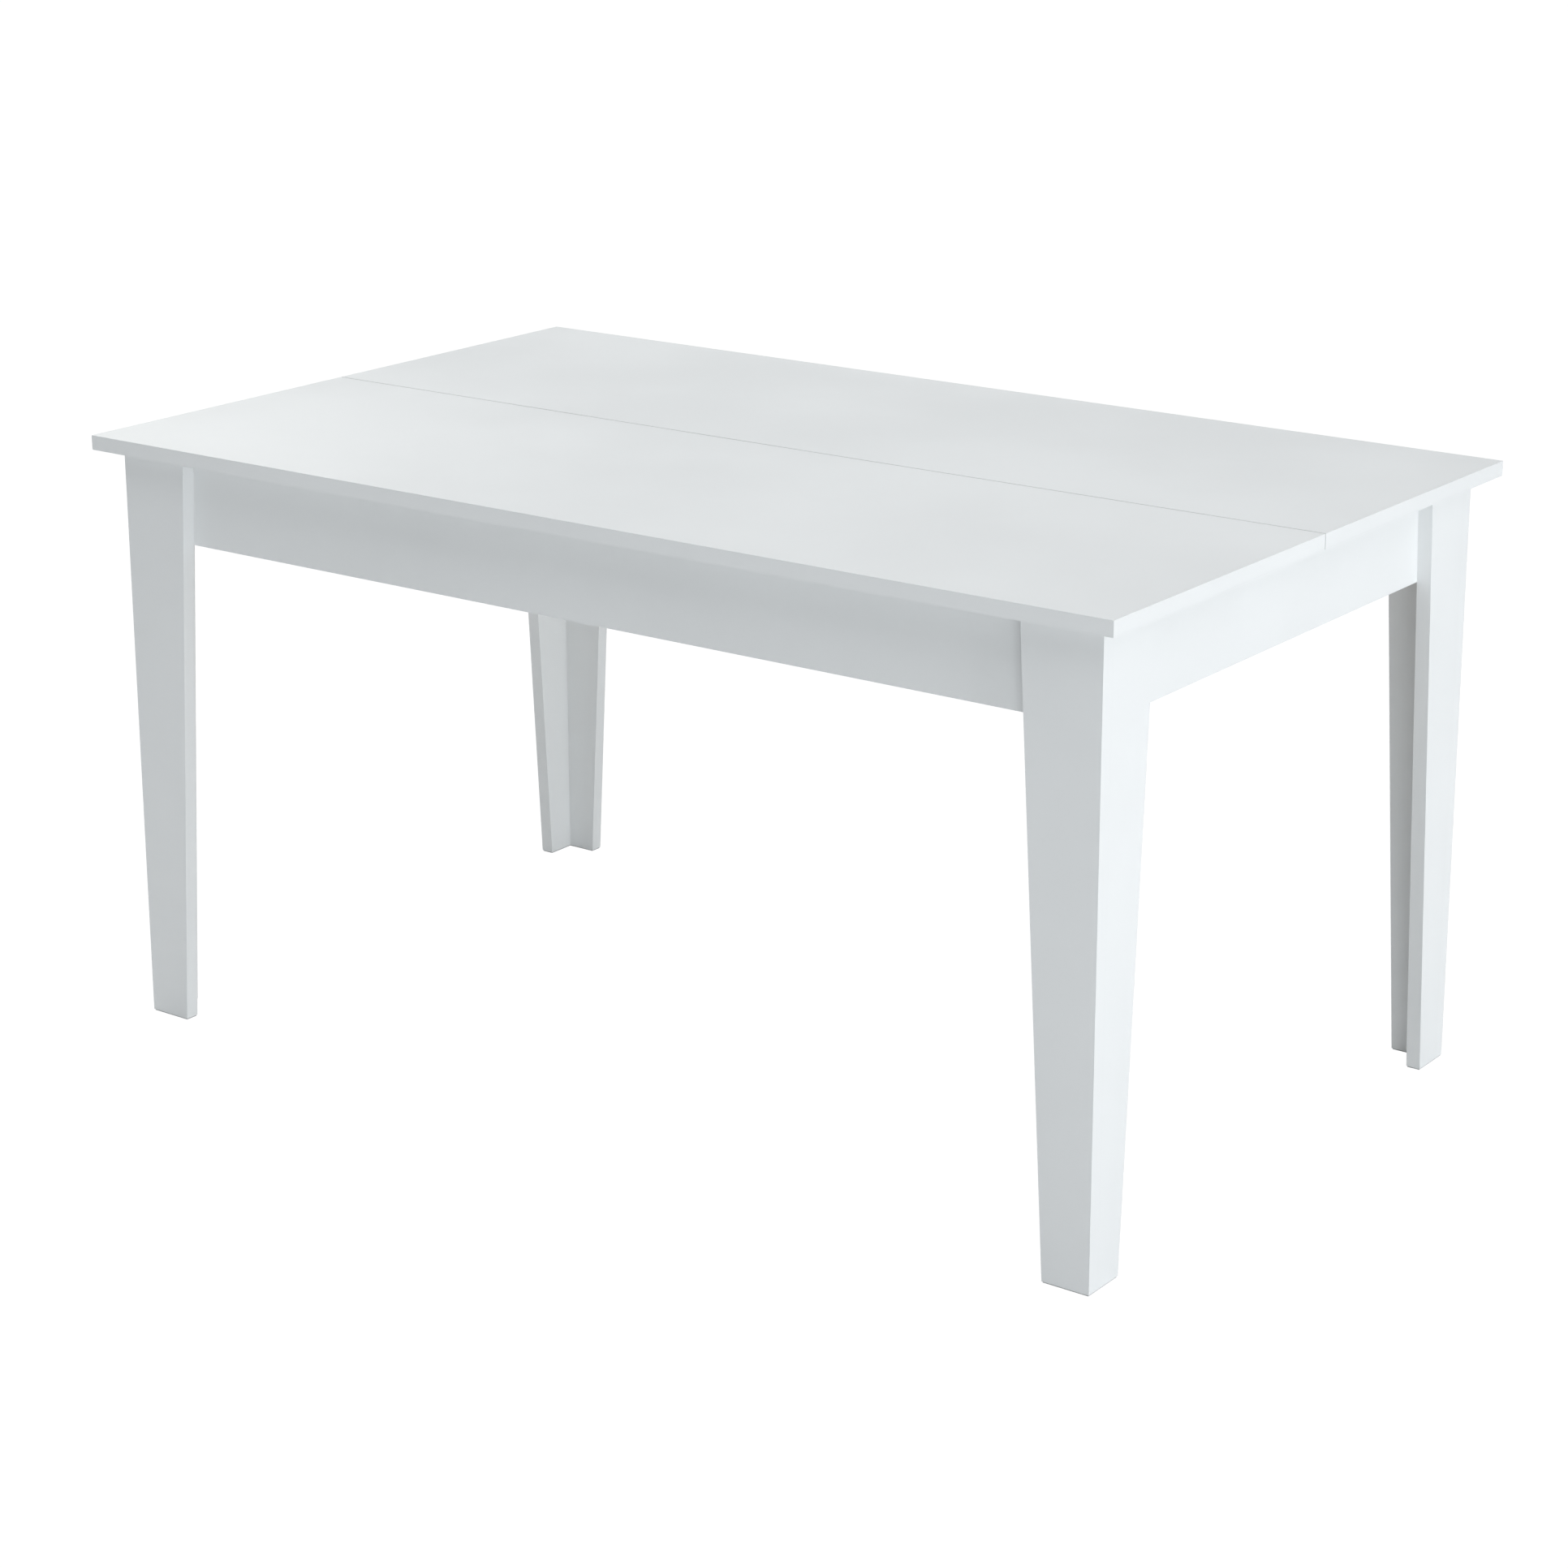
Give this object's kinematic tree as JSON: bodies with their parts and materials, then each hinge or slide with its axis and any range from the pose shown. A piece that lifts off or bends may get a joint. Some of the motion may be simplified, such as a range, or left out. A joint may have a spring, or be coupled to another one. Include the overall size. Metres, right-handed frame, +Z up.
{
  "type": "extendable dining table",
  "caption": "White board dining table on tapered angle legs; its two leaves part on geared rails over a folding insert stored in the frame.",
  "frame": {"origin": "on the floor, at the middle of the closed table's plan", "axes": "+X along the table, -Y to the front, where the long side shows, +Z up"},
  "size_m": [1.45, 0.88, 0.75],
  "materials": {
    "white_board": "white melamine faced board, satin, edges banded in the same white",
    "bare_wood": "bare beech, planed",
    "zinc_steel": "bright zinc plated steel",
    "runner_alloy": "extruded aluminium, natural anodised",
    "gear_nylon": "moulded black nylon",
    "buffer_rubber": "black rubber",
    "glide_plastic": "light grey moulded plastic"
  },
  "bodies": {
    "root": {"front_apron": "white_board", "rear_apron": "white_board", "left_apron": "white_board", "right_apron": "white_board", "front_left_leg_face": "white_board", "front_left_leg_side": "white_board", "front_right_leg_face": "white_board", "front_right_leg_side": "white_board", "rear_left_leg_face": "white_board", "rear_left_leg_side": "white_board", "rear_right_leg_face": "white_board", "rear_right_leg_side": "white_board", "front_left_corner_block": "bare_wood", "front_right_corner_block": "bare_wood", "rear_left_corner_block": "bare_wood", "rear_right_corner_block": "bare_wood", "leg_bolts": "zinc_steel", "leg_glides": "glide_plastic", "left_rail_bearer": "bare_wood", "right_rail_bearer": "bare_wood", "left_rail_channel": "zinc_steel", "right_rail_channel": "zinc_steel", "left_insert_bearer": "bare_wood", "right_insert_bearer": "bare_wood", "bearer_brackets": "zinc_steel", "bracket_screws": "zinc_steel", "channel_screws": "zinc_steel", "pinion_axles": "zinc_steel", "axle_clips": "zinc_steel", "travel_buffers": "buffer_rubber", "slide_pads": "gear_nylon", "insert_lower_half": "white_board", "insert_upper_half": "white_board", "insert_pins": "bare_wood", "insert_lower_hinge_plates": "zinc_steel", "insert_upper_hinge_plates": "zinc_steel", "insert_hinge_pins": "zinc_steel", "insert_hinge_screws": "zinc_steel"},
    "front_top": {"front_leaf": "white_board", "left_front_runner": "runner_alloy", "right_front_runner": "runner_alloy", "left_front_rack": "gear_nylon", "right_front_rack": "gear_nylon", "front_batten": "bare_wood", "front_leaf_screws": "zinc_steel", "leaf_pins": "bare_wood", "lock_plates": "zinc_steel"},
    "rear_top": {"rear_leaf": "white_board", "left_rear_runner": "runner_alloy", "right_rear_runner": "runner_alloy", "left_rear_rack": "gear_nylon", "right_rear_rack": "gear_nylon", "rear_batten": "bare_wood", "rear_leaf_screws": "zinc_steel", "lock_keepers": "zinc_steel"},
    "left_pinion": {"left_pinion": "gear_nylon"},
    "right_pinion": {"right_pinion": "gear_nylon"},
    "left_lock": {"left_lock_lever": "zinc_steel"},
    "right_lock": {"right_lock_lever": "zinc_steel"}
  },
  "joints": [
    {"name": "front_leaf_slide", "type": "slide", "parent": "root", "child": "front_top", "axis": [0, -1, 0], "range_m": [0, 0.2]},
    {"name": "rear_leaf_slide", "type": "slide", "parent": "root", "child": "rear_top", "axis": [0, 1, 0], "range_m": [0, 0.2]},
    {"name": "left_pinion_turn", "type": "hinge", "parent": "root", "child": "left_pinion", "pos_m": [-0.48, 0, 0.7], "axis": [0, 0, -1], "range_deg": [0, 637]},
    {"name": "right_pinion_turn", "type": "hinge", "parent": "root", "child": "right_pinion", "pos_m": [0.48, 0, 0.7], "axis": [0, 0, -1], "range_deg": [0, 637]},
    {"name": "left_lock_turn", "type": "hinge", "parent": "front_top", "child": "left_lock", "pos_m": [-0.592, -0.025, 0.727], "axis": [0, 0, 1], "range_deg": [0, 90]},
    {"name": "right_lock_turn", "type": "hinge", "parent": "front_top", "child": "right_lock", "pos_m": [0.592, -0.025, 0.727], "axis": [0, 0, -1], "range_deg": [0, 90]}
  ],
  "couplings": [
    {"joint": "rear_leaf_slide", "follows": "front_leaf_slide", "ratio": 1},
    {"joint": "left_pinion_turn", "follows": "front_leaf_slide", "rad_per_m": 55.556},
    {"joint": "right_pinion_turn", "follows": "front_leaf_slide", "rad_per_m": 55.556}
  ]
}
